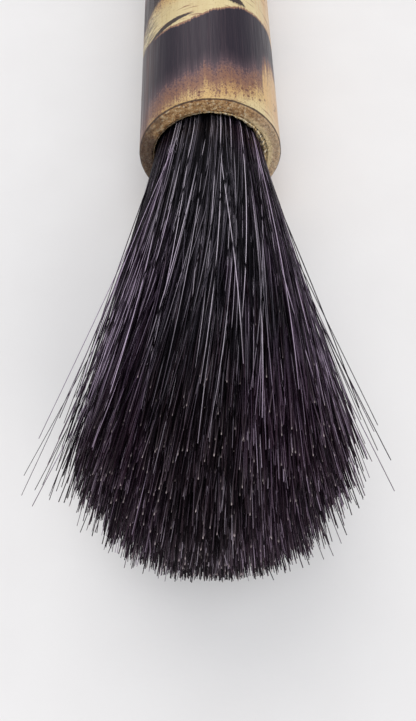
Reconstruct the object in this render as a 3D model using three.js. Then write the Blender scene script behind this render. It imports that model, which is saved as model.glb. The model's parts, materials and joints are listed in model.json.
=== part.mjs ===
// A large bamboo calligraphy brush, lying on a table: millimetres, +Z up.
// The handle points along +Y and sinks slightly towards its butt, because the brush lies on the
// belly of its tuft and on the lower edge of the butt. Every piece is a solid of revolution, so
// each is turned about the brush's own axis first and the whole brush is tilted afterwards.

import * as THREE from 'three';

// ---------- driving dimensions (mm) ----------
const gap = 0.3; // clearance between neighbouring pieces

const handle = {
  length: 228, // sawn rim to sawn butt
  rimRadius: 11.2,
  buttRadius: 11.4, // the culm grows slightly thicker towards the butt
  edgeRound: 0.5, // worn outer edges of both ends
  nodeAt: 149, // distance of the node from the rim
  septum: 3.0, // thickness of the wall across the node
};
// The node, from the rim's side: a slight pinch, the sharp scar of the sheath, the nodal ridge.
const nodeRings = [
  { at: -5.0, height: -0.25, width: 2.5 },
  { at: -2.2, height: 0.55, width: 0.8 },
  { at: 2.2, height: 0.7, width: 2.0 },
];
const socket = { radius: 9.0, depth: 22 };
const hollow = { radius: 8.3 }; // natural bore beyond the socket
const buttBore = { radius: 8.6, depth: 20 };
const plug = { length: 15, proud: 0.8, chamfer: 0.5 };
const glue = { from: 0.4, to: 3.8, thickness: 0.7 };
const root = { radius: 7.7, length: 14 }; // the part of the tuft held in the socket
const binding = { at: 8.2, turns: 5, thread: 0.7 };
const seal = { thickness: 2.6 };
const tuft = {
  length: 62.5, // hair outside the socket
  belly: 46, // distance of the widest place from the rim
  bellyRadius: 16.3,
  mouthRadius: 8.6, // where the hair starts to splay
  middleShare: 0.72, // radius of each inner bundle, as a share of the outer radius
  coreShare: 0.42,
};
const rimHeight = 14.8; // height of the rim's centre above the table
const segments = 40; // around the axis

// ---------- shared outlines ----------
// Distances along the axis are measured from the rim: y > 0 in the handle, y < 0 in the tuft.

// Radius of the splayed hair at a distance s in front of the rim, up to the belly.
function splay(s) {
  return tuft.mouthRadius + (tuft.bellyRadius - tuft.mouthRadius) * (s / tuft.belly);
}

// Radius of the domed end at a distance s in front of the rim, from the belly to the tip.
function dome(s) {
  const t = (s - tuft.belly) / (tuft.length - tuft.belly);
  return tuft.bellyRadius * Math.sqrt(Math.max(0, 1 - t ** 1.7));
}

// Where the dome has shrunk to a given radius: the inverse of dome().
function domeDistance(radius) {
  const t = (1 - (radius / tuft.bellyRadius) ** 2) ** (1 / 1.7);
  return tuft.belly + t * (tuft.length - tuft.belly);
}

// The side of a hair bundle, as points from its root to the place where the dome cuts it.
function bundleSide(share, offset) {
  const side = [
    [root.radius * share + offset, root.length],
    [root.radius * share + offset, 0.8],
  ];
  const steps = 12;
  for (let i = 1; i <= steps; i += 1) {
    const s = (tuft.belly * i) / steps;
    side.push([splay(s) * share + offset, -s]);
  }
  return side;
}

// The domed end between two radii, outermost point first.
function domeEnd(outer, inner) {
  const from = domeDistance(outer);
  const to = domeDistance(inner);
  const steps = 8;
  const end = [];
  for (let i = 0; i <= steps; i += 1) {
    const s = from + ((to - from) * Math.sin((i / steps) * Math.PI * 0.5));
    end.push([i === 0 ? outer : i === steps ? inner : dome(s), -s]);
  }
  return end;
}

// ---------- from outline to mesh ----------
// Turns an outline of [radius, y] points about the Y axis. A ring's outline closes on itself.
function turned(name, outline, material, isRing) {
  const points = outline.map(([r, y]) => new THREE.Vector2(r, y));
  if (isRing) {
    points.push(points[0].clone());
  }
  if (signedArea(points) < 0) {
    points.reverse();
  }
  const mesh = new THREE.Mesh(new THREE.LatheGeometry(points, segments), material);
  mesh.name = name;
  return mesh;
}

// Area of the outline, positive when it runs the way round that makes the faces look outwards.
function signedArea(points) {
  let area = 0;
  for (let i = 0; i < points.length; i += 1) {
    const a = points[i];
    const b = points[(i + 1) % points.length];
    area += (a.x * b.y - b.x * a.y) / 2;
  }
  return area;
}

function finish(color, roughness, metalness = 0) {
  return new THREE.MeshStandardMaterial({ color, roughness, metalness });
}

// ---------- the pieces ----------
// A rounded ring around the culm: its height at a distance y from the rim.
function ring({ at, height, width }, y) {
  return height * Math.exp(-(((y - handle.nodeAt - at) / width) ** 2));
}

// Outer radius of the culm: a slow taper, with the rings of the node.
function culmRadius(y) {
  const taper = handle.rimRadius + (handle.buttRadius - handle.rimRadius) * (y / handle.length);
  return taper + nodeRings.reduce((sum, shape) => sum + ring(shape, y), 0);
}

function handleCulm() {
  const outside = [];
  const plainStep = 24; // between outline points on the plain lengths of culm
  const ringStep = 1.1; // between outline points across the node
  const nodeReach = 9; // half the length that the node's rings take up
  for (let y = handle.edgeRound; y < handle.nodeAt - nodeReach - 1; y += plainStep) {
    outside.push([culmRadius(y), y]);
  }
  for (let y = handle.nodeAt - nodeReach; y <= handle.nodeAt + nodeReach; y += ringStep) {
    outside.push([culmRadius(y), y]);
  }
  const beyond = handle.nodeAt + nodeReach + 5;
  for (let y = beyond; y < handle.length - plainStep / 2; y += plainStep) {
    outside.push([culmRadius(y), y]);
  }
  outside.push([handle.buttRadius, handle.length - handle.edgeRound]);
  const septumFront = handle.nodeAt - handle.septum / 2;
  const septumBack = handle.nodeAt + handle.septum / 2;
  const outline = [
    [0, septumFront],
    [hollow.radius, septumFront],
    [hollow.radius, socket.depth + 1],
    [socket.radius, socket.depth],
    [socket.radius, 0],
    [handle.rimRadius - handle.edgeRound, 0],
    ...outside,
    [handle.buttRadius - handle.edgeRound, handle.length],
    [buttBore.radius, handle.length],
    [buttBore.radius, handle.length - buttBore.depth],
    [hollow.radius, handle.length - buttBore.depth - 1],
    [hollow.radius, septumBack],
    [0, septumBack],
  ];
  return turned('handle_culm', outline, finish(0x8a6a3c, 0.35), false);
}

function buttPlug() {
  const radius = buttBore.radius - gap;
  const face = handle.length + plug.proud;
  const outline = [
    [0, handle.length - plug.length],
    [radius - plug.chamfer, handle.length - plug.length],
    [radius, handle.length - plug.length + plug.chamfer],
    [radius, face - plug.chamfer],
    [radius - plug.chamfer, face],
    [0, face],
  ];
  return turned('butt_plug', outline, finish(0x3a2418, 0.45), false);
}

// A crust that lines the mouth of the socket, thicker in its middle.
function socketGlue() {
  const outer = socket.radius - gap;
  const inner = outer - glue.thickness;
  const outline = [
    [outer, glue.from],
    [outer, glue.to],
    [inner + 0.3, glue.to],
    [inner, (glue.from + glue.to) / 2],
    [inner + 0.1, glue.from + 0.4],
    [inner + 0.3, glue.from],
  ];
  return turned('socket_glue', outline, finish(0xd9bf7a, 0.5), true);
}

// Turns of thread, side by side, sunk into one another where they touch.
function rootBinding() {
  const inner = root.radius + gap;
  const outline = [[inner, binding.at]];
  for (let turn = 0; turn < binding.turns; turn += 1) {
    const y = binding.at + turn * binding.thread;
    outline.push([inner + 0.2, y]);
    outline.push([inner + 0.42, y + binding.thread * 0.25]);
    outline.push([inner + 0.5, y + binding.thread * 0.5]);
    outline.push([inner + 0.42, y + binding.thread * 0.75]);
  }
  const end = binding.at + binding.turns * binding.thread;
  outline.push([inner + 0.2, end], [inner, end]);
  return turned('root_binding', outline, finish(0xb7a88c, 0.8), true);
}

function rootSeal() {
  const start = root.length + gap;
  const outline = [
    [0, start],
    [root.radius - 0.2, start],
    [root.radius, start + 0.6],
    [root.radius - 1.2, start + seal.thickness * 0.8],
    [root.radius * 0.5, start + seal.thickness],
    [0, start + seal.thickness],
  ];
  return turned('root_seal', outline, finish(0x4a2a12, 0.4), false);
}

function hairCore() {
  const side = bundleSide(tuft.coreShare, -gap / 2);
  const widest = side[side.length - 1][0];
  const outline = [
    [0, root.length],
    ...side,
    ...domeEnd(widest, 0),
  ];
  return turned('hair_core', outline, finish(0x1d1418, 0.6), false);
}

function hairLayer(name, outerShare, innerShare, color) {
  const outside = bundleSide(outerShare, outerShare < 1 ? -gap / 2 : 0);
  const inside = bundleSide(innerShare, gap / 2);
  const outer = outside[outside.length - 1][0];
  const inner = inside[inside.length - 1][0];
  const end = domeEnd(outer, inner);
  const outline = [
    ...outside,
    ...(outerShare < 1 ? end : end.slice(1)),
    ...inside.reverse(),
  ];
  return turned(name, outline, finish(color, 0.55), true);
}

// ---------- assembly ----------
const brush = new THREE.Group();
brush.add(
  handleCulm(),
  buttPlug(),
  socketGlue(),
  rootBinding(),
  rootSeal(),
  hairCore(),
  hairLayer('hair_middle', tuft.middleShare, tuft.coreShare, 0x1a1216),
  hairLayer('hair_cover', 1, tuft.middleShare, 0x151015),
);

// The brush is laid down: its rim at the right height, its butt on the table.
const sink = Math.asin((rimHeight - handle.buttRadius) / handle.length);
brush.rotation.x = -sink;
brush.position.z = rimHeight;

// The hair under the belly is pressed flat by the table.
function pressFlat(mesh) {
  mesh.updateWorldMatrix(true, false);
  const position = mesh.geometry.attributes.position;
  const point = new THREE.Vector3();
  for (let i = 0; i < position.count; i += 1) {
    point.fromBufferAttribute(position, i).applyMatrix4(mesh.matrixWorld);
    if (point.z < 0) {
      point.z = 0;
      mesh.worldToLocal(point);
      position.setXYZ(i, point.x, point.y, point.z);
    }
  }
  mesh.geometry.computeVertexNormals();
}
pressFlat(brush.getObjectByName('hair_cover'));

// The origin is under the middle of the brush, on the table.
const box = new THREE.Box3().setFromObject(brush, true);
brush.position.y -= (box.min.y + box.max.y) / 2;

const group = new THREE.Group();
group.add(brush);

export default group;
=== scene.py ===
"""A large bamboo calligraphy brush lying on a pale table.

The CAD model is the frame. The handle, its plug, the crust of glue and the hair are finer pieces
that take the places of their CAD nodes; the root's thread and rosin stay as CAD nodes.
Sizes are in millimetres in the brush's own coordinates (x to the right, y along the handle from
its sawn rim to its butt, z up), and Brush.place turns them into the frame's metres.
"""

import json
import math

import bpy
import numpy as np
from mathutils import Matrix, Vector, noise


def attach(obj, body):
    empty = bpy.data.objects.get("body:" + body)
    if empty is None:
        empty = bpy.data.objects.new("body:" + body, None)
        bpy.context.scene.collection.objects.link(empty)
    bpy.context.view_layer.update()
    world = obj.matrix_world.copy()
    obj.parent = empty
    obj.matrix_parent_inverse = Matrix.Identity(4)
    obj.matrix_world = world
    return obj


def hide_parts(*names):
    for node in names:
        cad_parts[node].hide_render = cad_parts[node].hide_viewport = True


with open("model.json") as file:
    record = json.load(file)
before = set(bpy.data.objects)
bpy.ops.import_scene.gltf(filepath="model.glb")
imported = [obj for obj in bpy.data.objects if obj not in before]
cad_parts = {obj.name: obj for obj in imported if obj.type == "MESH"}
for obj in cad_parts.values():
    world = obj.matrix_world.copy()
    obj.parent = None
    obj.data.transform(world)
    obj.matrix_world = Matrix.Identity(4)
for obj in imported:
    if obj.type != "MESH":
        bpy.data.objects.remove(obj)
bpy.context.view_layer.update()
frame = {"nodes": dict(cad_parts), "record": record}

MM = 0.001
TAU = 2 * math.pi

# ---------- sizes, in mm: the CAD model's own ----------
HANDLE_LENGTH = 228.0
RIM_RADIUS = 11.2
BUTT_RADIUS = 11.4
SOCKET_RADIUS = 9.0
HOLLOW_RADIUS = 8.3
SOCKET_DEPTH = 22.0
BUTT_BORE_RADIUS = 8.6
BUTT_BORE_DEPTH = 20.0
NODE_AT = 149.0
SEPTUM = 3.0
PLUG_PROUD = 0.8
PLUG_LENGTH = 15.0
GLUE_LENGTH = 3.8
ROOT_RADIUS = 7.7
TUFT_LENGTH = 62.5
BELLY_AT = 46.0

# Two radii lie a little inside the CAD model's 16.3 and 8.6, because the random leans of the hairs
# carry the tuft's outline outwards.
BELLY_RADIUS = 15.6
MOUTH_RADIUS = 8.3

SEED = 20


# ---------- placing ----------
class Brush:
    """The brush's own coordinates, read from the frame's mount on the end of the handle."""

    mount = next(m for m in frame["record"]["mounts"] if m["name"] == "butt_face")
    along = Vector(mount["axis"]).normalized()
    side = Vector((1, 0, 0))
    up = side.cross(along)
    rim = Vector(mount["pos_m"]) - along * (HANDLE_LENGTH + PLUG_PROUD) * MM
    turn = np.array([side, along, up])

    @classmethod
    def place(cls, points):
        """Brush coordinates in mm to the frame's metres, for an array of points."""
        return np.asarray(points) * MM @ cls.turn + np.array(cls.rim)

    @classmethod
    def height(cls, points):
        """Height of points above the table, in mm."""
        return cls.place(points)[..., 2] / MM


def mesh_piece(name, points, faces, materials, replaces=(), smooth=None, indices=None):
    """A piece from brush coordinates, which also keeps them as its attribute "local".

    faces holds the corners of each face. smooth says for each face whether it is shaded smooth
    (all are, if left out), and indices which material it has."""
    points = np.asarray(points, dtype=float)
    sizes = np.array([len(face) for face in faces], dtype=np.int32)
    corners = np.concatenate(list(faces)).astype(np.int32)
    starts = np.cumsum(sizes, dtype=np.int32) - sizes
    if smooth is None:
        smooth = np.ones(len(sizes), dtype=bool)

    mesh = bpy.data.meshes.new(name)
    mesh.vertices.add(len(points))
    mesh.vertices.foreach_set("co", Brush.place(points).astype(np.float32).ravel())
    mesh.loops.add(len(corners))
    mesh.loops.foreach_set("vertex_index", corners)
    mesh.polygons.add(len(sizes))
    mesh.polygons.foreach_set("loop_start", starts)
    mesh.polygons.foreach_set("use_smooth", smooth)
    if indices is not None:
        mesh.polygons.foreach_set("material_index", np.asarray(indices, dtype=np.int32))
    mesh.update(calc_edges=True)
    mesh.validate()
    local = mesh.attributes.new("local", "FLOAT_VECTOR", "POINT")
    local.data.foreach_set("vector", points.astype(np.float32).ravel())
    for material in materials:
        mesh.materials.append(material)

    piece = bpy.data.objects.new(name, mesh)
    bpy.context.scene.collection.objects.link(piece)
    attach(piece, "root")
    if replaces:
        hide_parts(*replaces)
    return piece


# ---------- node building ----------
class Shader:
    """A material and short ways to add nodes to it. Sockets are passed about as values."""

    def __init__(self, name):
        self.material = bpy.data.materials.new(name)
        self.material.use_nodes = True
        self.tree = self.material.node_tree
        self.body = self.tree.nodes["Principled BSDF"]

    def put(self, socket, value):
        """Links a socket, or sets a constant on it."""
        if isinstance(value, bpy.types.NodeSocket):
            self.tree.links.new(value, socket)
        elif isinstance(value, tuple) and len(value) == 3 and socket.type == "RGBA":
            socket.default_value = (*value, 1)
        else:
            socket.default_value = value

    def node(self, kind, inputs=None, **settings):
        made = self.tree.nodes.new("ShaderNode" + kind)
        for key, value in settings.items():
            setattr(made, key, value)
        for key, value in (inputs or {}).items():
            self.put(made.inputs[key], value)
        return made

    def attribute(self, name, output="Vector"):
        return self.node("Attribute", attribute_name=name).outputs[output]

    def xyz(self, vector):
        return self.node("SeparateXYZ", {0: vector}).outputs

    def rgb(self, color):
        return self.node("SeparateColor", {0: color}).outputs

    def math(self, operation, *values, clamp=False):
        inputs = dict(enumerate(values))
        return self.node("Math", inputs, operation=operation, use_clamp=clamp).outputs[0]

    def plus(self, a, b):
        return self.math("ADD", a, b)

    def minus(self, a, b):
        return self.math("SUBTRACT", a, b)

    def times(self, a, b):
        return self.math("MULTIPLY", a, b)

    def over(self, a, b):
        return self.math("DIVIDE", a, b)

    def most(self, a, b):
        return self.math("MAXIMUM", a, b)

    def plus_times(self, base, value, factor):
        """base + value * factor"""
        return self.math("MULTIPLY_ADD", value, factor, base)

    def distance(self, x, z):
        """Length of a vector across the brush."""
        return self.math("SQRT", self.plus(self.times(x, x), self.times(z, z)))

    def swing(self, value, amount):
        """A noise as a swing either way, by half the amount at most."""
        return self.times(self.minus(value, 0.5), amount)

    def span(self, value, low, high, start=0.0, end=1.0, kind="SMOOTHSTEP"):
        """start where the value is low, end where it is high, and a soft change between them."""
        inputs = {"Value": value, "From Min": low, "From Max": high, "To Min": start, "To Max": end}
        return self.node("MapRange", inputs, interpolation_type=kind).outputs["Result"]

    def hump(self, value, centre, width):
        """A bell curve, 1 at the centre."""
        off = self.over(self.minus(value, centre), width)
        return self.math("EXPONENT", self.times(self.times(off, off), -1.0))

    def scaled(self, vector, scale):
        return self.node("VectorMath", {0: vector, 1: scale}, operation="MULTIPLY").outputs[0]

    def noise(self, vector, scale=1.0, detail=3.0, roughness=0.5, distortion=0.0):
        inputs = {
            "Vector": vector,
            "Scale": scale,
            "Detail": detail,
            "Roughness": roughness,
            "Distortion": distortion,
        }
        return self.node("TexNoise", inputs).outputs[0]

    def fibrous(self, vector, across, along, **settings):
        """Noise with one scale across the brush and another along it."""
        return self.noise(self.scaled(vector, (across, along, across)), **settings)

    def cells(self, vector, scale=1.0, output="Distance"):
        inputs = {"Vector": vector, "Scale": scale}
        return self.node("TexVoronoi", inputs).outputs[output]

    def mix(self, factor, a, b):
        made = self.node("Mix", data_type="RGBA")
        self.put(made.inputs[0], factor)
        self.put(made.inputs[6], a)
        self.put(made.inputs[7], b)
        return made.outputs[2]

    def ramp(self, factor, *stops):
        """A colour from stops of (position, colour)."""
        made = self.node("ValToRGB", {"Fac": factor})
        elements = made.color_ramp.elements
        while len(elements) < len(stops):
            elements.new(0.5)
        for element, (position, color) in zip(elements, stops, strict=True):
            element.position = position
            element.color = (*color, 1)
        return made.outputs["Color"]

    def bump(self, height, strength, distance):
        """A bumped normal. The distance is in mm."""
        inputs = {"Height": height, "Strength": strength, "Distance": distance * MM}
        return self.node("Bump", inputs).outputs["Normal"]

    def surface(self, **inputs):
        """The material, with values for its shader's inputs."""
        for key, value in inputs.items():
            self.put(self.body.inputs[key.replace("_", " ")], value)
        return self.material


# ---------- the culm's skin ----------
# The sharp upper edge of the lowest burnt band, in mm from the rim, as harmonics of the angle
# around the culm. The bands further up repeat it at a fixed period.
BAND_EDGE = {"mean": 20.5, "cos1": -0.45, "sin1": 1.08, "cos2": -1.25, "sin2": 1.31}
BAND_PERIOD = 25.5

# Dips in that edge: the angle from the top, the width in degrees, and the depth in mm.
EDGE_DIPS = [(-14, 20, 0.95), (56, 17, 0.8), (84, 14, 2.2)]

# Where the smoke below the band reaches further towards the tuft, or less far: the angle from the
# top, the width in degrees, and how many mm it moves.
TONGUES = [(31, 9, 2.0), (-10, 10, -0.8), (-68, 20, 4.0), (-38, 6, 0.8), (8, 4, 0.8)]

# Burnt strokes between the bands nearest the rim: the angle and height of each one's middle,
# half its length in degrees, its rise in mm per degree, and half its thickness in mm.
STROKES = [
    (-32, 18.4, 25, 0.014, 0.58),
    (-60, 22.8, 13, 0.09, 0.16),
    (-55, 21.5, 11, 0.09, 0.10),
    (-66, 24.6, 12, 0.08, 0.20),
    (-50, 20.3, 9, 0.10, 0.09),
    (-74, 28.4, 43, -0.04, 3.3),
    (14, 24.0, 23, -0.085, 1.75),
]

# Colours of the burn, from its faintest to its darkest, and of what lies on it.
BURN = [
    (0.0, (0.62, 0.42, 0.19)),
    (0.20, (0.37, 0.200, 0.100)),
    (0.36, (0.215, 0.110, 0.078)),
    (0.56, (0.145, 0.084, 0.086)),
    (0.80, (0.052, 0.034, 0.043)),
    (1.0, (0.013, 0.009, 0.017)),
]
WORN_BURN = (0.12, 0.075, 0.085)
BROWN_FADE = (0.20, 0.092, 0.056)
SCORCH = (0.080, 0.036, 0.032)
# A pale grey-brown for streaks of painted reflection at the left.
PAINTED_LEFT_REFLECTION = (0.22, 0.155, 0.14)
SPECK = (0.13, 0.050, 0.032)
INK = (0.020, 0.012, 0.015)

# Colours of the plain skin, and a painted pink light on its right side.
YELLOW_SKIN = [(0.3, (0.68, 0.50, 0.22)), (0.52, (0.60, 0.40, 0.16)), (0.75, (0.50, 0.29, 0.11))]
CREAM_SKIN = [(0.3, (0.70, 0.59, 0.33)), (0.75, (0.58, 0.46, 0.23))]
PAINTED_PINK_LIGHT = (0.66, 0.41, 0.24)
FIBRE = (0.42, 0.24, 0.09)


def scattered_strokes():
    """A thin and a thick stroke above each of the bands further up the handle."""
    rng = np.random.default_rng(SEED + 1)
    band = BAND_EDGE["mean"] + BAND_PERIOD
    strokes = []
    while band < HANDLE_LENGTH:
        for thickness in (0.2, 1.2):
            angle = rng.uniform(-130, 130)
            height = band + rng.uniform(1.5, 6.5)
            reach = rng.uniform(15, 34)
            rise = rng.uniform(-0.08, 0.08)
            strokes.append((angle, height, reach, rise, thickness * rng.uniform(0.7, 1.3)))
        band += BAND_PERIOD
    return strokes


class CulmSkin(Shader):
    """The culm's skin. Its measures are in mm, and its angles in degrees from the top."""

    def __init__(self):
        super().__init__("burnt_bamboo")
        self.local = self.attribute("local")
        x, self.s, z = self.xyz(self.local)
        radius = self.distance(x, z)
        self.sine = self.over(x, radius)
        self.cosine = self.over(z, radius)
        self.angle = self.times(self.math("ARCTAN2", x, z), 180 / math.pi)

        self.drift = self.fibrous(self.local, 0.075, 0.042, detail=1.0, roughness=0.4)
        self.grains = self.fibrous(self.local, 3.2, 2.4, detail=5.0, roughness=0.85)
        self.stripes = self.fibrous(self.local, 2.2, 0.05, detail=3.0, roughness=0.7)
        self.fine = self.fibrous(self.local, 4.5, 0.12, detail=3.0, roughness=0.6)
        self.teeth = self.fibrous(self.local, 5.5, 0.35, detail=2.0, roughness=0.6)
        self.hairlines = self.fibrous(self.local, 5.0, 0.2, detail=2.0)

        # The pattern turns about the culm, by an angle that differs from band to band.
        self.turned_by = self.plus(self.angle, self.swing(self.drift, self.span(self.s, 24, 50, 0, 260)))
        self.below = self.below_edge()
        # The right side: less smoky, and tinted with a painted pink light.
        side = self.plus(self.swing(self.stripes, 60), self.angle)
        self.bare_and_lit_side = self.times(self.span(side, 44, 68), self.span(self.below, 3, 11))
        self.smoke = self.smoke_reach()

    def below_edge(self):
        """Distance below the nearest edge above, from 0 at the edge to the period.

        The edge wanders more with distance from the rim, and has teeth along the fibres."""
        sine2 = self.times(self.times(self.sine, self.cosine), 2.0)
        cosine2 = self.minus(self.times(self.cosine, self.cosine), self.times(self.sine, self.sine))
        edge = self.plus_times(BAND_EDGE["mean"], self.cosine, BAND_EDGE["cos1"])
        edge = self.plus_times(edge, self.sine, BAND_EDGE["sin1"])
        edge = self.plus_times(edge, cosine2, BAND_EDGE["cos2"])
        edge = self.plus_times(edge, sine2, BAND_EDGE["sin2"])
        edge = self.plus(edge, self.swing(self.drift, self.span(self.s, 24, 60, 0, 26)))
        for centre, width, depth in EDGE_DIPS:
            edge = self.plus_times(edge, self.hump(self.turned_by, centre, width), -depth)
        uneven = self.fibrous(self.local, 0.9, 0.2, detail=2.0, roughness=0.6)
        edge = self.plus(edge, self.swing(uneven, 1.0))
        edge = self.plus(edge, self.swing(self.teeth, 1.3))
        periods = self.over(self.minus(edge, self.s), BAND_PERIOD)
        return self.times(self.math("FRACT", periods), BAND_PERIOD)

    def smoke_reach(self):
        """Distance below the edge as the smoke has it: in streaks, and in tongues that differ from
        band to band, with less smoke on the bare right side."""
        streaks = self.fibrous(self.local, 0.75, 0.03, detail=5.0, roughness=0.62)
        smoke = self.plus(self.below, self.swing(streaks, 5.0))
        smoke = self.plus(smoke, self.swing(self.fine, 3.5))
        for centre, width, reach in TONGUES:
            smoke = self.plus_times(smoke, self.hump(self.turned_by, centre, width), -reach)
        return self.plus_times(smoke, self.bare_and_lit_side, 9.0)

    def darkness(self):
        """How burnt the skin is, from 0 to 1."""
        # The bands, grainy where they fade, with a thin halo above their edge.
        powder = self.swing(self.grains, self.span(self.smoke, 10.5, 15.5, 2, 42))
        fade = self.span(self.plus(self.smoke, powder), 8.2, 18.0, 1, 0)
        dark = self.times(fade, self.span(self.below, 0, 0.35))
        dark = self.most(dark, self.span(self.below, BAND_PERIOD - 0.35, BAND_PERIOD, 0, 0.30))

        # Rusty grains at the end of the fade.
        cover = self.span(self.smoke, 12, 19, 0.09, -0.11, kind="LINEAR")
        rust = self.span(self.plus(self.grains, cover), 0.47, 0.58)
        dark = self.most(dark, self.times(rust, 0.31))

        # Thin brown lines that run around the culm in the bare skin above an edge.
        threads = self.fibrous(self.local, 0.16, 2.6, detail=3.0, roughness=0.6, distortion=0.3)
        above = self.span(self.below, BAND_PERIOD - 9, BAND_PERIOD - 2)
        lines = self.times(self.span(threads, 0.56, 0.66), above)
        return self.most(dark, self.times(lines, 0.27))

    def specks(self):
        """Single specks of many sizes around the end of the fade."""
        field = self.scaled(self.local, (1.15, 0.95, 1.15))
        near_end = self.times(self.span(self.below, 13, 16), self.span(self.below, 20.8, 19.2))
        chance = self.rgb(self.cells(field, output="Color"))[0]
        size = self.times(self.minus(self.times(chance, 0.42), 0.10), near_end)
        ragged = self.plus_times(self.cells(field), self.grains, 0.25)
        specks = self.span(self.minus(ragged, size), 0.06, 0.13, 1, 0)
        return self.times(specks, self.span(size, 0, 0.02))

    def strokes(self):
        """Burnt strokes, each a long thin lens around the culm."""
        rough = self.swing(self.teeth, 0.7)
        ink = 0.0
        for centre, height, reach, rise, thickness in STROKES + scattered_strokes():
            turn = self.minus(self.angle, centre)
            off = self.over(self.minus(self.s, self.plus_times(height, turn, rise)), thickness)
            off = self.math("ABSOLUTE", self.plus(off, rough))
            share = self.over(turn, reach)
            lens = self.plus_times(off, share, share)
            ink = self.most(ink, self.span(lens, 1.1, 0.8, 0, 0.96))
        return ink

    def scratches(self):
        """Slanting scratches at the left of the bare skin above the lowest edge."""
        slant = self.plus_times(self.s, self.angle, 0.10)
        place = {0: self.times(slant, 2.6), 1: self.times(self.angle, 0.035)}
        lines = self.noise(self.node("CombineXYZ", place).outputs[0], detail=4.0, roughness=0.7)
        where = self.times(self.span(self.angle, -38, -58), self.span(self.s, 33, 28))
        where = self.times(where, self.span(self.s, 16, 19))
        return self.times(where, self.span(lines, 0.45, 0.55))

    def plain_color(self):
        """Cream above an edge, yellower towards the tuft, with long clouds and fine fibres, and a pink
        of painted light on the right side.
        """
        cloud = self.fibrous(self.local, 0.25, 0.08, detail=4.0, roughness=0.6)
        yellow = self.ramp(cloud, *YELLOW_SKIN)
        cream = self.ramp(cloud, *CREAM_SKIN)
        color = self.mix(self.span(self.below, 17.5, 21), yellow, cream)
        # Pink painted light on the right side.
        color = self.mix(self.times(self.bare_and_lit_side, 0.55), color, PAINTED_PINK_LIGHT)
        return self.mix(self.span(self.hairlines, 0.55, 0.75, 0, 0.4), color, FIBRE)

    def burnt_color(self, dark):
        """The burn: worn along the grain, brown where it fades, and scorched at the left, where pale
        streaks are a painted reflection.
        """
        grain = self.fibrous(self.local, 3.0, 0.06, detail=4.0, roughness=0.65)
        color = self.ramp(dark, *BURN)
        color = self.mix(self.span(grain, 0.48, 0.8, 0, 0.3), color, WORN_BURN)
        color = self.mix(self.span(self.smoke, 11, 16, 0, 0.6), color, BROWN_FADE)
        left = self.span(self.turned_by, -36, -60)
        scorched = self.times(self.span(self.stripes, 0.42, 0.62, 0, 0.85), left)
        color = self.mix(scorched, color, SCORCH)
        # Pale streaks at the far left: a painted reflection.
        reflection_streaks = self.times(self.span(self.fine, 0.52, 0.66, 0, 0.55), self.times(left, left))
        return self.mix(reflection_streaks, color, PAINTED_LEFT_REFLECTION)


def burnt_bamboo():
    """Lacquered culm skin: bands burnt on with a sharp scalloped edge towards the butt and a
    smoky, grainy fade towards the tuft, specks below them, and strokes and scratches above."""
    skin = CulmSkin()
    dark = skin.darkness()
    color = skin.mix(skin.span(dark, 0, 0.2), skin.plain_color(), skin.burnt_color(dark))
    color = skin.mix(skin.times(skin.specks(), 0.85), color, SPECK)
    ink = skin.most(skin.strokes(), skin.times(skin.scratches(), 0.72))
    color = skin.mix(ink, color, INK)
    height = skin.plus_times(skin.times(skin.hairlines, 0.6), dark, -0.25)
    return skin.surface(
        Base_Color=color,
        Roughness=skin.span(skin.stripes, 0.35, 0.65, 0.30, 0.46),
        Specular_IOR_Level=0.22,
        Specular_Tint=(1.0, 0.82, 0.97),
        Coat_Weight=0.04,
        Coat_Roughness=0.25,
        Normal=skin.bump(height, 0.45, 0.12),
    )


# ---------- the other materials ----------
def sawn_bamboo():
    """The sawn ends of the culm: brown, granular, with a dark skin line outside."""
    sh = Shader("sawn_bamboo")
    local = sh.attribute("local")
    x, s, z = sh.xyz(local)
    radius = sh.distance(x, z)
    grains = sh.noise(local, scale=1.5, detail=6.0, roughness=0.85)
    color = sh.ramp(
        grains,
        (0.37, (0.10, 0.042, 0.015)),
        (0.45, (0.40, 0.20, 0.075)),
        (0.53, (0.68, 0.40, 0.17)),
        (0.62, (0.93, 0.76, 0.48)),
    )
    glint = sh.rgb(sh.cells(local, scale=4.5, output="Color"))[1]
    color = sh.mix(sh.span(glint, 0.86, 0.97, 0, 0.65), color, (0.92, 0.80, 0.58))

    # Darker at the left, lighter and greyer at the right, with a smear of glue inside the right side.
    left_darkening = sh.plus(sh.noise(local, scale=0.3, detail=3.0), sh.span(x, -4, -10, 0, 0.45))
    color = sh.mix(sh.span(left_darkening, 0.55, 0.95, 0, 0.82), color, (0.075, 0.044, 0.036))
    color = sh.mix(sh.span(x, 5, 10, 0, 0.5), color, (0.72, 0.57, 0.41))
    inside = sh.span(radius, SOCKET_RADIUS + 1.1, SOCKET_RADIUS + 0.5)
    smear = sh.times(inside, sh.span(x, 5, 7.5))
    smear = sh.times(smear, sh.span(grains, 0.34, 0.44))
    color = sh.mix(smear, color, (0.95, 0.74, 0.42))

    pores = sh.cells(local, scale=2.4)
    color = sh.mix(sh.span(pores, 0.26, 0.12, 0, 0.6), color, (0.06, 0.03, 0.015))
    outer = sh.span(s, 100, 101, RIM_RADIUS, BUTT_RADIUS)  # changes where there is no sawn face
    skin_line = sh.span(sh.minus(outer, radius), 0.12, 0.24, 0.9, 0)
    color = sh.mix(skin_line, color, (0.045, 0.02, 0.012))
    return sh.surface(
        Base_Color=color,
        Roughness=sh.span(grains, 0.4, 0.7, 0.6, 0.22),
        Normal=sh.bump(sh.plus(grains, sh.times(pores, 0.5)), 0.9, 0.3),
    )


def bamboo_bore():
    """The soft inner wall of the culm."""
    sh = Shader("bamboo_bore")
    fibres = sh.fibrous(sh.attribute("local"), 1.6, 0.12, detail=4.0)
    color = sh.ramp(fibres, (0.3, (0.34, 0.22, 0.10)), (0.7, (0.62, 0.46, 0.25)))
    return sh.surface(Base_Color=color, Roughness=0.7, Normal=sh.bump(fibres, 0.5, 0.2))


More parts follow.
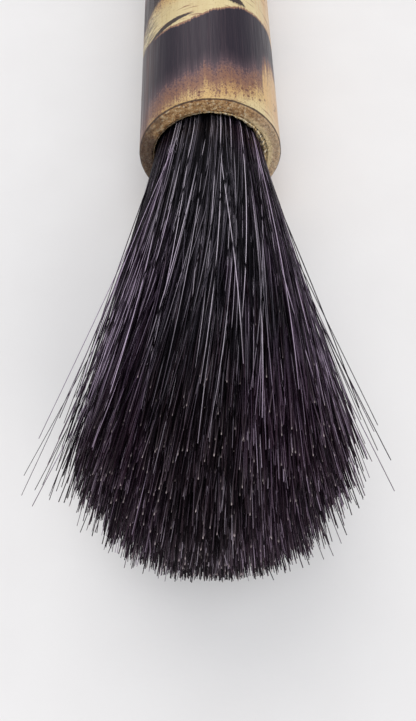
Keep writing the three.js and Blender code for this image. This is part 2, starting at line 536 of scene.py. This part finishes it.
def plug_wood():
    """Dark polished wood, with its grain across the plug's face."""
    sh = Shader("plug_wood")
    local = sh.attribute("local")
    rings = sh.noise(sh.scaled(local, (0.5, 0.1, 1.6)), detail=5.0, roughness=0.65, distortion=0.4)
    pores = sh.noise(sh.scaled(local, (3.0, 3.0, 7.0)), detail=2.0)
    color = sh.ramp(
        rings,
        (0.3, (0.035, 0.014, 0.007)),
        (0.55, (0.10, 0.045, 0.02)),
        (0.8, (0.19, 0.09, 0.04)),
    )
    color = sh.mix(sh.span(pores, 0.6, 0.72, 0, 0.7), color, (0.015, 0.007, 0.004))
    return sh.surface(
        Base_Color=color,
        Roughness=sh.span(rings, 0.3, 0.8, 0.3, 0.5),
        Coat_Weight=0.3,
        Coat_Roughness=0.2,
        Normal=sh.bump(pores, 0.4, 0.1),
    )


def glue_crust():
    """Dried glue: amber and cream grains with glossy facets, and painted shade that darkens it at the
    left.
    """
    sh = Shader("glue_crust")
    local = sh.attribute("local")
    grains = sh.noise(local, scale=2.2, detail=4.0, roughness=0.65)
    facets = sh.rgb(sh.cells(local, scale=3.0, output="Color"))[0]
    color = sh.ramp(
        grains,
        (0.3, (0.50, 0.29, 0.11)),
        (0.45, (0.85, 0.60, 0.28)),
        (0.6, (0.96, 0.83, 0.55)),
    )
    color = sh.mix(sh.span(facets, 0.7, 0.95, 0, 0.7), color, (0.97, 0.90, 0.74))
    # Painted shade, darker towards the left.
    color = sh.mix(sh.span(sh.xyz(local)[0], 3, -5, 0, 0.85), color, (0.12, 0.062, 0.028))
    return sh.surface(
        Base_Color=color,
        Roughness=sh.span(facets, 0, 1, 0.55, 0.18),
        Normal=sh.bump(sh.plus(grains, facets), 0.7, 0.2),
    )


def hair_coat():
    """Black animal hair, cooler along the middle and more purple at the sides, with painted highlights,
    painted light and painted shade in its colour. The attribute "strand" holds, for each hair, its
    tone (red), how near the cut end a point is (green), and how pale that end is (blue)."""
    sh = Shader("hair_coat")
    tone, tip, pale = sh.rgb(sh.attribute("strand", "Color"))
    local = sh.attribute("local")
    x, y, _ = sh.xyz(local)
    outwards = sh.math("ABSOLUTE", x)
    zones = sh.fibrous(local, 0.13, 0.05, detail=2.0)

    # The tone varies by zones and by place: a painted highlight lightens it towards the rim,
    # painted light lightens it on the right, and painted shade darkens both sides near the rim.
    # It is also darker at the ends of the hairs.
    tone = sh.plus(tone, sh.swing(zones, 0.4))
    tone = sh.plus(tone, sh.span(y, -40, -10, 0.03, 0.07))
    tone = sh.plus(tone, sh.span(x, 2, 8, 0, 0.06))
    shaded = sh.times(sh.span(y, -24, -6), sh.span(outwards, 3.5, 6.5, 0, 0.13))
    tone = sh.minus(tone, shaded)
    tone = sh.math("SUBTRACT", tone, sh.span(tip, 0, 1, 0, 0.07), clamp=True)

    # The pale top of both ramps, on the light hairs, is a painted highlight.
    purple = sh.ramp(
        tone,
        (0.0, (0.0008, 0.0006, 0.0012)),
        (0.45, (0.0076, 0.0031, 0.0092)),
        (0.72, (0.060, 0.033, 0.067)),
        (1.0, (0.62, 0.50, 0.66)),
    )
    cool = sh.ramp(
        tone,
        (0.0, (0.0009, 0.0010, 0.0014)),
        (0.45, (0.0036, 0.0035, 0.0050)),
        (0.72, (0.047, 0.044, 0.054)),
        (1.0, (0.64, 0.58, 0.66)),
    )
    color = sh.mix(sh.span(sh.plus(outwards, sh.swing(zones, 24)), 3, 8), cool, purple)

    # Towards its end a hair turns rusty or bleached, and its cut face is pale: partly its own colour and
    # partly a painted glint.
    rusty = sh.times(sh.span(tip, 0.1, 0.9), sh.span(tone, 0.2, 0.6, 0.05, 0.45))
    color = sh.mix(rusty, color, (0.040, 0.016, 0.019))
    bleached = sh.times(sh.span(tip, 0.55, 1), sh.times(pale, 0.35))
    color = sh.mix(bleached, color, (0.30, 0.24, 0.27))
    cut = sh.times(sh.span(tip, 0.965, 0.99), pale)
    color = sh.mix(cut, color, (0.50, 0.42, 0.42))

    scales = sh.fibrous(local, 9.0, 4.0, detail=2.0)
    return sh.surface(
        Base_Color=color,
        Roughness=sh.span(scales, 0.3, 0.7, 0.24, 0.40),
        Specular_IOR_Level=sh.span(tone, 0.3, 0.85, 0.06, 0.95),
        Specular_Tint=(0.88, 0.72, 1.0),
    )


def thread():
    """Twisted, undyed thread. It and the next two read the object's own coordinates, in metres."""
    sh = Shader("thread")
    where = sh.node("TexCoord").outputs["Object"]
    twist = sh.noise(sh.scaled(where, (3000.0, 9000.0, 3000.0)), detail=3.0)
    color = sh.ramp(twist, (0.3, (0.34, 0.28, 0.20)), (0.7, (0.68, 0.60, 0.46)))
    return sh.surface(Base_Color=color, Roughness=0.85, Normal=sh.bump(twist, 0.6, 0.15))


def rosin():
    """Melted rosin, dark amber and glossy."""
    sh = Shader("rosin")
    where = sh.node("TexCoord").outputs["Object"]
    flow = sh.noise(where, scale=400.0, detail=3.0)
    return sh.surface(
        Base_Color=sh.ramp(flow, (0.3, (0.06, 0.022, 0.008)), (0.7, (0.26, 0.12, 0.04))),
        Roughness=sh.span(flow, 0.3, 0.7, 0.15, 0.35),
        Normal=sh.bump(flow, 0.4, 0.3),
    )


def table_top():
    """A pale matt table, very slightly uneven."""
    sh = Shader("table_top")
    where = sh.node("TexCoord").outputs["Object"]
    clouds = sh.noise(where, scale=90.0, detail=4.0)
    fine = sh.noise(where, scale=1400.0, detail=3.0)
    color = sh.mix(clouds, (0.76, 0.75, 0.745), (0.80, 0.795, 0.79))
    return sh.surface(Base_Color=color, Roughness=0.75, Normal=sh.bump(fine, 0.15, 0.15))


# ---------- turned pieces ----------
def turned(outline, around, wobble, closed=False):
    """Points and faces of an outline of (radius, y) turned about the axis, and for each face the
    number of the outline's stretch that it lies on.

    wobble(radius, y, angle) returns how much a point moves out and along the axis. An outline
    end with radius 0 becomes one point."""
    rows = []
    points = []
    for radius, y in outline:
        if radius == 0.0:
            rows.append([len(points)])
            points.append((0.0, y, 0.0))
            continue
        row = []
        for i in range(around):
            angle = TAU * i / around
            out, shift = wobble(radius, y, angle)
            reach = radius + out
            row.append(len(points))
            points.append((reach * math.sin(angle), y + shift, reach * math.cos(angle)))
        rows.append(row)
    faces = []
    stretches = []
    pairs = list(zip(rows, rows[1:]))
    if closed:
        pairs.append((rows[-1], rows[0]))
    for stretch, (a, b) in enumerate(pairs):
        for i in range(around):
            j = (i + 1) % around
            if len(a) == 1:
                faces.append((a[0], b[j], b[i]))
            elif len(b) == 1:
                faces.append((a[i], a[j], b[0]))
            else:
                faces.append((a[i], a[j], b[j], b[i]))
            stretches.append(stretch)
    return points, faces, stretches


def lumps(x, y, z, size, offset=0.0):
    """Smooth noise from -1 to 1, with lumps of a size in mm."""
    return noise.noise(Vector((x / size + offset, y / size, z / size)))


def swell(y, centre, width):
    """A bell curve along the axis, 1 at the centre."""
    return math.exp(-(((y - centre) / width) ** 2))


def culm_radius(y):
    """The culm's taper, with the pinch, the sheath's scar and the ridge of its node."""
    taper = RIM_RADIUS + (BUTT_RADIUS - RIM_RADIUS) * y / HANDLE_LENGTH
    pinch = -0.25 * swell(y, NODE_AT - 5.0, 2.5)
    scar = 0.55 * swell(y, NODE_AT - 2.2, 0.8)
    ridge = 0.7 * swell(y, NODE_AT + 2.2, 2.0)
    return taper + pinch + scar + ridge


def culm():
    """The handle: skin, two sawn ends and the two hollows either side of the node's septum."""
    skin, sawn, bore = 0, 1, 2
    septum_front, septum_back = NODE_AT - SEPTUM / 2, NODE_AT + SEPTUM / 2
    flat, fillet = 4.0, 0.8  # the septum's flat middle, and its fillet to the wall
    rim_round, butt_round = 0.4, 0.5  # the worn outer edges
    skin_start = 0.45
    outline = [(0.0, septum_front)]
    kinds = []

    def go(radius, y, kind):
        outline.append((radius, y))
        kinds.append(kind)

    # The front hollow and the socket, from the septum to the rim.
    go(flat, septum_front, bore)
    go(HOLLOW_RADIUS - fillet, septum_front - 0.2, bore)
    go(HOLLOW_RADIUS, septum_front - 1.0, bore)
    for y in np.linspace(septum_front - 6, SOCKET_DEPTH + 1, 12):
        go(HOLLOW_RADIUS, y, bore)
    for y in np.linspace(SOCKET_DEPTH, 0.7, 10):
        go(SOCKET_RADIUS, y, bore)

    # The sawn rim.
    go(SOCKET_RADIUS, 0.25, sawn)
    go(SOCKET_RADIUS + 0.12, 0.03, sawn)
    for radius in np.linspace(SOCKET_RADIUS + 0.3, RIM_RADIUS - 0.45, 9):
        go(radius, 0.0, sawn)
    for angle in (20, 45, 70):
        bend = math.radians(angle)
        radius = RIM_RADIUS - rim_round + rim_round * math.sin(bend)
        go(radius, rim_round - rim_round * math.cos(bend), sawn)

    # The skin, with closer rings near the rim and the node.
    ys = [skin_start, 0.8]
    while ys[-1] < HANDLE_LENGTH - 1.0:
        near_node = abs(ys[-1] - NODE_AT) < 9
        near_rim = ys[-1] < 4
        ys.append(ys[-1] + (0.35 if near_node else 0.5 if near_rim else 1.0))
    for y in ys:
        go(culm_radius(y), y, skin)

    # The sawn butt.
    for angle in (90, 65, 40, 15):
        bend = math.radians(angle)
        radius = BUTT_RADIUS - butt_round + butt_round * math.sin(bend)
        y = HANDLE_LENGTH - butt_round + butt_round * math.cos(bend)
        go(radius, y, skin if angle == 90 else sawn)
    for radius in np.linspace(BUTT_RADIUS - 0.6, BUTT_BORE_RADIUS + 0.2, 8):
        go(radius, HANDLE_LENGTH, sawn)

    # The plug's bore and the back hollow, from the butt to the septum.
    for y in np.linspace(HANDLE_LENGTH - 0.3, HANDLE_LENGTH - BUTT_BORE_DEPTH, 6):
        go(BUTT_BORE_RADIUS, y, bore)
    for y in np.linspace(HANDLE_LENGTH - BUTT_BORE_DEPTH - 1, septum_back + 1.0, 6):
        go(HOLLOW_RADIUS, y, bore)
    go(HOLLOW_RADIUS - fillet, septum_back + 0.2, bore)
    go(flat, septum_back, bore)
    go(0.0, septum_back, bore)

    mean_radius = 11.0  # the lumps are read there, so that they run straight inwards

    def wobble(radius, y, angle):
        """The bores stay true, the sawn faces are rough, and the skin is oval and lumpy."""
        x, z = math.sin(angle) * mean_radius, math.cos(angle) * mean_radius
        if radius < SOCKET_RADIUS + 0.05 and 0.3 < y < HANDLE_LENGTH - 0.1:
            return 0.0, 0.0
        on_rim = y < skin_start
        on_butt = y > HANDLE_LENGTH - butt_round
        if on_rim or on_butt:
            share = radius / mean_radius
            saw = 0.10 * lumps(x * share, 0, z * share, 0.7) + 0.09 * lumps(x, radius * 2, z, 2.5)
            return 0.05 * lumps(x, y, z, 1.6), abs(saw) * (1 if on_rim else -1)
        oval = 0.035 * math.cos(2 * angle + 0.6)
        slow = 0.06 * lumps(x, y * 0.2, z, 9.0)
        node = swell(y, NODE_AT, 6.0)
        rough = node * (0.14 * lumps(x, y, z, 3.0) + 0.05 * lumps(x, y, z, 0.9))
        return min(oval + slow + rough, 0.12), node * 0.5 * lumps(x, 3.0, z, 6.0)

    points, faces, stretches = turned(outline, 168, wobble)
    materials = [burnt_bamboo(), sawn_bamboo(), bamboo_bore()]
    indices = [kinds[stretch] for stretch in stretches]
    replaced = ["handle_culm"]
    mesh_piece("culm", points, faces, materials, replaced, indices=indices)


def butt_plug():
    """A turned plug, a little proud of the sawn end, with a shallow groove in its face."""
    radius = BUTT_BORE_RADIUS - 0.08
    round_edge = 0.5
    face = HANDLE_LENGTH + PLUG_PROUD
    foot = HANDLE_LENGTH - PLUG_LENGTH
    groove_radius, groove_depth, groove_width = 5.6, 0.35, 0.35
    outline = [(0.0, foot), (radius - 0.6, foot)]
    outline += [(radius, y) for y in np.linspace(foot + 0.6, face - round_edge, 8)]
    for angle in (30, 60, 90):
        bend = math.radians(angle)
        y = face - round_edge + round_edge * math.sin(bend)
        outline.append((radius - round_edge + round_edge * math.cos(bend), y))
    for r in np.linspace(radius - 1.0, 0.4, 16):
        outline.append((r, face - groove_depth * swell(r, groove_radius, groove_width)))
    outline.append((0.0, face))

    def wobble(r, y, angle):
        return 0.0, -0.03 * abs(lumps(r * math.sin(angle), y, r * math.cos(angle), 1.2))

    points, faces, _ = turned(outline, 96, wobble)
    mesh_piece("plug", points, faces, [plug_wood()], replaces=["butt_plug"])


def glue():
    """The lumpy crust that lines the mouth of the socket, thickest on the right."""
    outer = SOCKET_RADIUS - 0.02
    inner = outer - 0.22
    thickest = math.radians(84)
    outline = [(outer, y) for y in np.linspace(0.3, GLUE_LENGTH, 8)]
    outline += [(inner, y) for y in np.linspace(GLUE_LENGTH, 0.5, 10)]
    outline += [(inner + 0.15, 0.2), (inner + 0.33, 0.12), (outer - 0.08, 0.16)]

    def wobble(r, y, angle):
        if r > outer - 0.05:
            return 0.0, 0.0
        x, z = SOCKET_RADIUS * math.sin(angle), SOCKET_RADIUS * math.cos(angle)
        thick = swell(angle, thickest, 0.7)
        rough = (0.10 + thick * 0.45) * lumps(x, y, z, 0.8) + 0.12 * lumps(x, y, z, 0.35)
        near_mouth = max(0.0, 1 - y / 1.5)
        proud = 0.12 + 0.3 * thick + 0.25 * abs(lumps(x, y, z, 0.6, 7.0))
        return min(-thick * (1 - 0.4 * near_mouth) - rough * 0.8, 0.2), -proud * near_mouth

    points, faces, _ = turned(outline, 220, wobble, closed=True)
    mesh_piece("glue_crust", points, faces, [glue_crust()], replaces=["socket_glue"])


# ---------- hair ----------
HAIR_SIDES = 4
OUTER_RINGS = 11  # along each hair
INNER_RINGS = 8
HAIR_DIAMETER = 0.15
ROOT_START = -3.0  # the hair is modelled from here, inside the socket, outwards
MOUTH_SHIFT = -0.20  # the hair sits to the left in the socket's mouth
TIP_SHIFT = -0.75  # and the whole tuft leans a little to the left
TWIST = 22.0  # degrees the hair turns about the tuft's axis by the belly, from top to left
CLUMPS = 300
DOME_POWER = 1.7  # the higher, the blunter the tuft's domed end
TAPER = 0.35  # share of its radius that a hair loses by its end
TIP_ZONE = 9.0  # the end of a hair, in mm, over which its colour changes

# Where each bundle lies, as shares of the tuft's radius. The cover is in sectors, each a range of
# angles from the top, so that no piece grows too large.
CORE = (0.0, 0.45)
MIDDLE = (0.45, 0.80)
COVER = (0.80, 1.0)
COVER_SECTORS = {"right": (0, 120), "left": (-120, 0), "under": (120, 240)}

# Numbers of hairs.
CORE_HAIRS = 1500
MIDDLE_HAIRS = 3000
SECTOR_HAIRS = 2250
SURFACE_HAIRS = 2100

# Loose fans of stray hairs: the angle of the middle from the top, the spread in degrees, the
# number of hairs, and how steeply they leave the tuft.
FANS = [
    (-80, 12, 20, 0.15),
    (-86, 20, 12, 0.05),
    (80, 12, 14, 0.12),
    (84, 20, 14, 0.04),
    (20, 60, 8, 0.03),
]


def splay(s):
    """Radius of the tuft at a distance s in front of the rim, or inside the socket where s < 0."""
    neck = 2.0  # mm inside the socket over which the tied root widens to the mouth
    mouth = MOUTH_RADIUS + (ROOT_RADIUS - MOUTH_RADIUS) * np.clip(-s / neck, 0, 1)
    return mouth + (BELLY_RADIUS - MOUTH_RADIUS) * np.clip(s / BELLY_AT, 0, None)


def dome_end(share):
    """How far from the rim a hair ends, for its share of the tuft's radius."""
    t = (1 - np.clip(share, 0, 1) ** 2) ** (1 / DOME_POWER)
    return BELLY_AT + t * (TUFT_LENGTH - BELLY_AT)


def grow(roots, end, lean, bend, rings, leave=0.0, bend_power=2.0, twist=TWIST):
    """Centre lines of hairs, as an array (hair, ring, xyz) in brush coordinates.

    roots holds each hair's place in the tuft, sideways and up, as shares of its radius. lean is
    how far, in mm, a full-length hair's tip is carried by a straight lean, and bend the same by a
    curve: the higher the power, the closer to the tip. leave is the distance from the rim where
    the lean begins, softly, and twist is how far the hair has turned by the belly, in degrees."""
    softness = 2.0  # mm over which a lean begins
    held = 3.0  # mm past the rim over which the socket still holds the hair
    t = np.linspace(0, 1, rings)[None, :]
    s = ROOT_START + (end[:, None] - ROOT_START) * t
    radius = splay(s)
    out = np.clip(s / TUFT_LENGTH, 0, None)
    leave = np.broadcast_to(leave, len(end))[:, None]
    leaning = np.logaddexp(0, (s - leave) / softness) * softness / (TUFT_LENGTH - leave)
    leaning *= np.clip(s / held, 0, 1)
    curve = out ** np.broadcast_to(bend_power, len(end))[:, None]
    spread = lean[:, None] * leaning[..., None] + bend[:, None] * curve[..., None]
    sideways = radius * roots[:, :1] + spread[..., 0]
    upwards = radius * roots[:, 1:] + spread[..., 1]
    turn = np.radians(twist) * np.clip(s / BELLY_AT, 0, None)
    x = sideways * np.cos(turn) - upwards * np.sin(turn)
    z = sideways * np.sin(turn) + upwards * np.cos(turn)
    x = x + MOUTH_SHIFT + (TIP_SHIFT - MOUTH_SHIFT) * out
    return np.stack([x, -s, z], axis=2)


def around(angle):
    """Directions across the brush, sideways and up, for angles from the top."""
    return np.stack([np.sin(angle), np.cos(angle)], axis=-1)


def clump(rng, roots, pull):
    """The lean that draws each hair towards the middle of its clump."""
    share = np.sqrt(rng.uniform(0, 1, CLUMPS))
    middles = around(rng.uniform(0, TAU, CLUMPS)) * share[:, None]
    gaps = np.linalg.norm(roots[:, None] - middles[None], axis=2)
    nearest = np.argmin(gaps, axis=1)
    strength = rng.uniform(0.2, 1.0, CLUMPS)[nearest]
    return (middles[nearest] - roots) * BELLY_RADIUS * pull * strength[:, None]


def rest_on_table(lines, radius):
    """Hairs that would dip under the table are pressed up onto it, the lowest ones flattest."""
    depth = 0.6  # mm above the table within which hairs are pressed together
    clearance = 0.05
    height = Brush.height(lines)
    low = radius[:, None] + clearance
    sunk = np.clip(low + depth - height, 0.0, None)
    pressed = np.where(sunk > 0, low + depth * np.exp(-sunk / depth), height)
    lines = lines.copy()
    lines[..., 2] += pressed - height
    return lines


def strands(name, lines, radius, tone, pale, material, replaces=()):
    """A piece made of tapered, square-sectioned hairs with flat cut ends. Each hair has a radius,
    a tone, and a paleness of its cut end."""
    count, rings = lines.shape[:2]
    ring = np.arange(rings) / (rings - 1)
    tangent = np.gradient(lines, axis=1)
    tangent /= np.linalg.norm(tangent, axis=2, keepdims=True)
    first = np.cross(tangent, np.array([0.0, 0.0, 1.0]))
    first /= np.linalg.norm(first, axis=2, keepdims=True)
    second = np.cross(tangent, first)
    taper = 1.0 - TAPER * ring**2
    points = np.empty((count, rings, HAIR_SIDES, 3))
    for side in range(HAIR_SIDES):
        angle = TAU * side / HAIR_SIDES
        offset = math.cos(angle) * first + math.sin(angle) * second
        points[:, :, side] = lines + offset * (radius[:, None] * taper[None, :])[..., None]
    base = (np.arange(count) * rings * HAIR_SIDES)[:, None, None]
    step = np.arange(rings - 1)[None, :, None] * HAIR_SIDES
    side = np.arange(HAIR_SIDES)[None, None, :]
    after = (side + 1) % HAIR_SIDES
    corner = base + step
    above = corner + HAIR_SIDES
    walls = np.stack([corner + side, corner + after, above + after, above + side], axis=3)
    walls = walls.reshape(-1, 4)
    last = (rings - 1) * HAIR_SIDES
    start_cap = base[:, :, 0] + np.array([[3, 2, 1, 0]])
    end_cap = base[:, :, 0] + last + np.array([[0, 1, 2, 3]])
    faces = np.concatenate([walls, start_cap, end_cap])
    smooth = np.ones(len(faces), dtype=bool)
    smooth[len(walls):] = False
    piece = mesh_piece(name, points.reshape(-1, 3), faces, [material], replaces, smooth)

    length = np.linalg.norm(lines[:, -1] - lines[:, 0], axis=1)
    to_end = (1 - ring)[None, :] * length[:, None]
    tip = np.clip(1 - to_end / TIP_ZONE, 0, 1)
    color = np.ones((count, rings, HAIR_SIDES, 4), dtype=np.float32)
    color[..., 0] = tone[:, None, None]
    color[..., 1] = tip[:, :, None]
    color[..., 2] = pale[:, None, None]
    strand = piece.data.attributes.new("strand", "FLOAT_COLOR", "POINT")
    strand.data.foreach_set("color", color.ravel())


def hair_colors(rng, count, pale_share, light_share=0.18):
    """Tone and paleness of the cut end, for each hair.

    pale_share is the share of hairs with a pale end, and light_share that of light hairs, whose pale
    colour is a painted highlight."""
    tone = rng.normal(0.33, 0.17, count)
    light = rng.uniform(0, 1, count) < light_share
    tone[light] = 0.58 + 0.42 * rng.uniform(0, 1, light.sum()) ** 1.3
    tone = np.clip(tone, 0, 1)
    pale = (rng.uniform(0, 1, count) < pale_share) * rng.uniform(0.2, 1.0, count)
    return tone, pale


def hair_radii(rng, tone, low, high):
    """Radius of each hair. The light ones, whose pale colour is a painted highlight, are thinner."""
    return HAIR_DIAMETER / 2 * rng.uniform(low, high, len(tone)) * np.where(tone > 0.6, 0.7, 1.0)


def bundle(rng, name, count, shares, rings, sector, material, replaces, thinning=0.0):
    """Hairs that fill the tuft between two shares of its radius, and end at its domed face.

    sector is the range of angles from the top that they fill, in degrees. thinning draws hairs
    inwards, so that the bundle is thinner at its outside."""
    low, high = shares
    share = np.sqrt(rng.uniform(low**2, high**2, count))
    share -= thinning * (share - low) * rng.uniform(0, 1, count)
    angle = np.radians(rng.uniform(*sector, count))
    roots = around(angle) * share[:, None]
    # The ends are a little uneven, and more so at the outside of the tuft.
    end = dome_end(share) - rng.exponential(0.9, count) - rng.exponential(4.0, count) * share**8
    spread = 0.9 + 0.6 * share
    lean = rng.normal(0, 1, (count, 2)) * spread[:, None] + clump(rng, roots, 0.45)
    bend = rng.normal(0, 1.7, (count, 2))
    bend_power = rng.uniform(2.0, 9.0, count)
    tone, pale = hair_colors(rng, count, 0.13)
    radius = hair_radii(rng, tone, 0.8, 1.25)
    lines = grow(roots, end, lean, bend, rings, bend_power=bend_power)
    strands(name, rest_on_table(lines, radius), radius, tone, pale, material, replaces)


def surface_hairs(rng, material):
    """Hairs that lie on the outside of the tuft: shorter ones, and some that cross the others."""
    count = SURFACE_HAIRS
    outward = around(rng.uniform(0, TAU, count))
    roots = outward * rng.uniform(0.93, 1.015, count)[:, None]
    end = rng.triangular(24, 48, 52, count)
    lean = rng.normal(0, 1.3, (count, 2)) + clump(rng, roots, 0.3)
    crossing = rng.uniform(0, 1, count) < 0.4
    lean[crossing] += rng.normal(0, 5.0, (crossing.sum(), 2))

    # Most of a lean into the tuft or away from it is taken back, so that the hairs lie flat on it.
    leaning = (lean * outward).sum(axis=1)
    taken = 0.8 * np.minimum(leaning, 0) + 0.7 * np.maximum(leaning, 0)
    lean -= outward * taken[:, None]

    bend = rng.normal(0, 1.6, (count, 2))
    bend_power = rng.uniform(1.3, 5.0, count)
    tone, pale = hair_colors(rng, count, 0.14, 0.25)
    radius = hair_radii(rng, tone, 0.8, 1.25)
    leave = rng.uniform(-2, 16, count)
    lines = grow(roots, end, lean, bend, OUTER_RINGS, leave, bend_power)
    strands("hair_surface", rest_on_table(lines, radius), radius, tone, pale, material)


def stray_hairs(rng, material):
    """Loose hairs that stand away from the tuft, most of them in fans at its sides."""
    angle, slope = [], []
    for middle, width, count, steepness in FANS:
        angle.append(rng.normal(middle, width, count))
        slope.append(rng.gamma(9.0, steepness / 9.0, count))
    outward = around(np.radians(np.concatenate(angle)))
    slope = np.concatenate(slope)
    count = len(slope)
    roots = outward * rng.uniform(0.96, 1.01, count)[:, None]
    end = rng.uniform(40, 55, count)
    furthest = 5.5  # mm outside the tuft, about where the furthest hair ends
    leave = np.maximum(rng.uniform(10, 34, count), end - furthest / slope)
    reach = (slope * (TUFT_LENGTH - leave))[:, None]
    lean = outward * reach + rng.normal(0, 0.9, (count, 2))
    bend = rng.normal(0, 0.9, (count, 2))
    tone, pale = hair_colors(rng, count, 0.2)
    radius = HAIR_DIAMETER / 2 * rng.uniform(0.7, 1.05, count)
    lines = grow(roots, end, lean, bend, OUTER_RINGS, leave, twist=0.0)
    strands("hair_strays", rest_on_table(lines, radius), radius, tone, pale, material)


def tuft():
    """All the hair, from one stream of random numbers, so the order of the bundles matters."""
    rng = np.random.default_rng(SEED)
    coat = hair_coat()
    for side, sector in COVER_SECTORS.items():
        name = f"hair_cover_{side}"
        bundle(rng, name, SECTOR_HAIRS, COVER, OUTER_RINGS, sector, coat, ["hair_cover"], 0.5)
    everywhere = (-180, 180)
    bundle(rng, "hair_middle", MIDDLE_HAIRS, MIDDLE, INNER_RINGS, everywhere, coat, ["hair_middle"])
    bundle(rng, "hair_core", CORE_HAIRS, CORE, INNER_RINGS, everywhere, coat, ["hair_core"])
    surface_hairs(rng, coat)
    stray_hairs(rng, coat)


# ---------- the room, in metres ----------
TABLE_HALF = 1.5
ROOM_COLOR = (0.95, 0.96, 1.0, 1)
ROOM_STRENGTH = 0.50
LIT_PLACE = (0, -0.1, 0.01)

# Round soft lights: name, place, diameter, power in watts, colour.
LIGHTS = [
    ("window", (-0.15, 0.60, 0.80), 1.0, 4.2, (1.0, 0.97, 0.94)),
    ("ceiling", (0.10, -0.20, 0.95), 0.7, 3.2, (0.96, 0.97, 1.0)),
    ("fill", (0.45, -0.70, 0.55), 0.5, 2.3, (1.0, 0.98, 0.96)),
]


def light(name, place, size, power, color):
    """A round area light that points at the brush."""
    data = bpy.data.lights.new(name, "AREA")
    data.shape = "DISK"
    data.size = size
    data.energy = power
    data.color = color
    lamp = bpy.data.objects.new(name, data)
    bpy.context.scene.collection.objects.link(lamp)
    lamp.location = place
    lamp.rotation_euler = (Vector(LIT_PLACE) - Vector(place)).to_track_quat("-Z", "Y").to_euler()


def room():
    """The table, the even light of the room, and the soft lights."""
    half = TABLE_HALF
    corners = [(-half, -half, 0), (half, -half, 0), (half, half, 0), (-half, half, 0)]
    mesh = bpy.data.meshes.new("table")
    mesh.from_pydata(corners, [], [(0, 1, 2, 3)])
    mesh.materials.append(table_top())
    floor = bpy.data.objects.new("table", mesh)
    bpy.context.scene.collection.objects.link(floor)

    world = bpy.data.worlds.new("soft_room")
    world.use_nodes = True
    background = world.node_tree.nodes["Background"]
    background.inputs["Color"].default_value = ROOM_COLOR
    background.inputs["Strength"].default_value = ROOM_STRENGTH
    bpy.context.scene.world = world
    bpy.context.scene.view_settings.view_transform = "Standard"
    for settings in LIGHTS:
        light(*settings)


# ---------- the camera ----------
CAMERA_PLACE = (2.44, -63.27, 68.08)  # from the rim's centre, in mm along the frame's axes
SENSOR_WIDTH = 36.0
LENS = 27.43
HEADING = 7.035  # degrees to the left of straight along the handle
LOOK_DOWN = 67.126  # degrees below the horizontal
ROLL = -8.886


def camera():
    """A phone held close above the tuft."""
    data = bpy.data.cameras.new("camera")
    data.sensor_width = SENSOR_WIDTH
    data.lens = LENS
    data.clip_start = 0.005
    eye = bpy.data.objects.new("camera", data)
    bpy.context.scene.collection.objects.link(eye)
    eye.location = [start + step * MM for start, step in zip(Brush.rim, CAMERA_PLACE)]
    heading = Matrix.Rotation(math.radians(HEADING), 4, "Z")
    pitch = Matrix.Rotation(math.radians(90 - LOOK_DOWN), 4, "X")
    roll = Matrix.Rotation(math.radians(ROLL), 4, "Z")
    eye.rotation_euler = (heading @ pitch @ roll).to_euler()
    bpy.context.scene.camera = eye


def dress(node, material):
    """Gives a CAD node another material."""
    mesh = frame["nodes"][node].data
    mesh.materials.clear()
    mesh.materials.append(material)


camera()
room()
culm()
butt_plug()
glue()
tuft()
dress("root_binding", thread())
dress("root_seal", rosin())
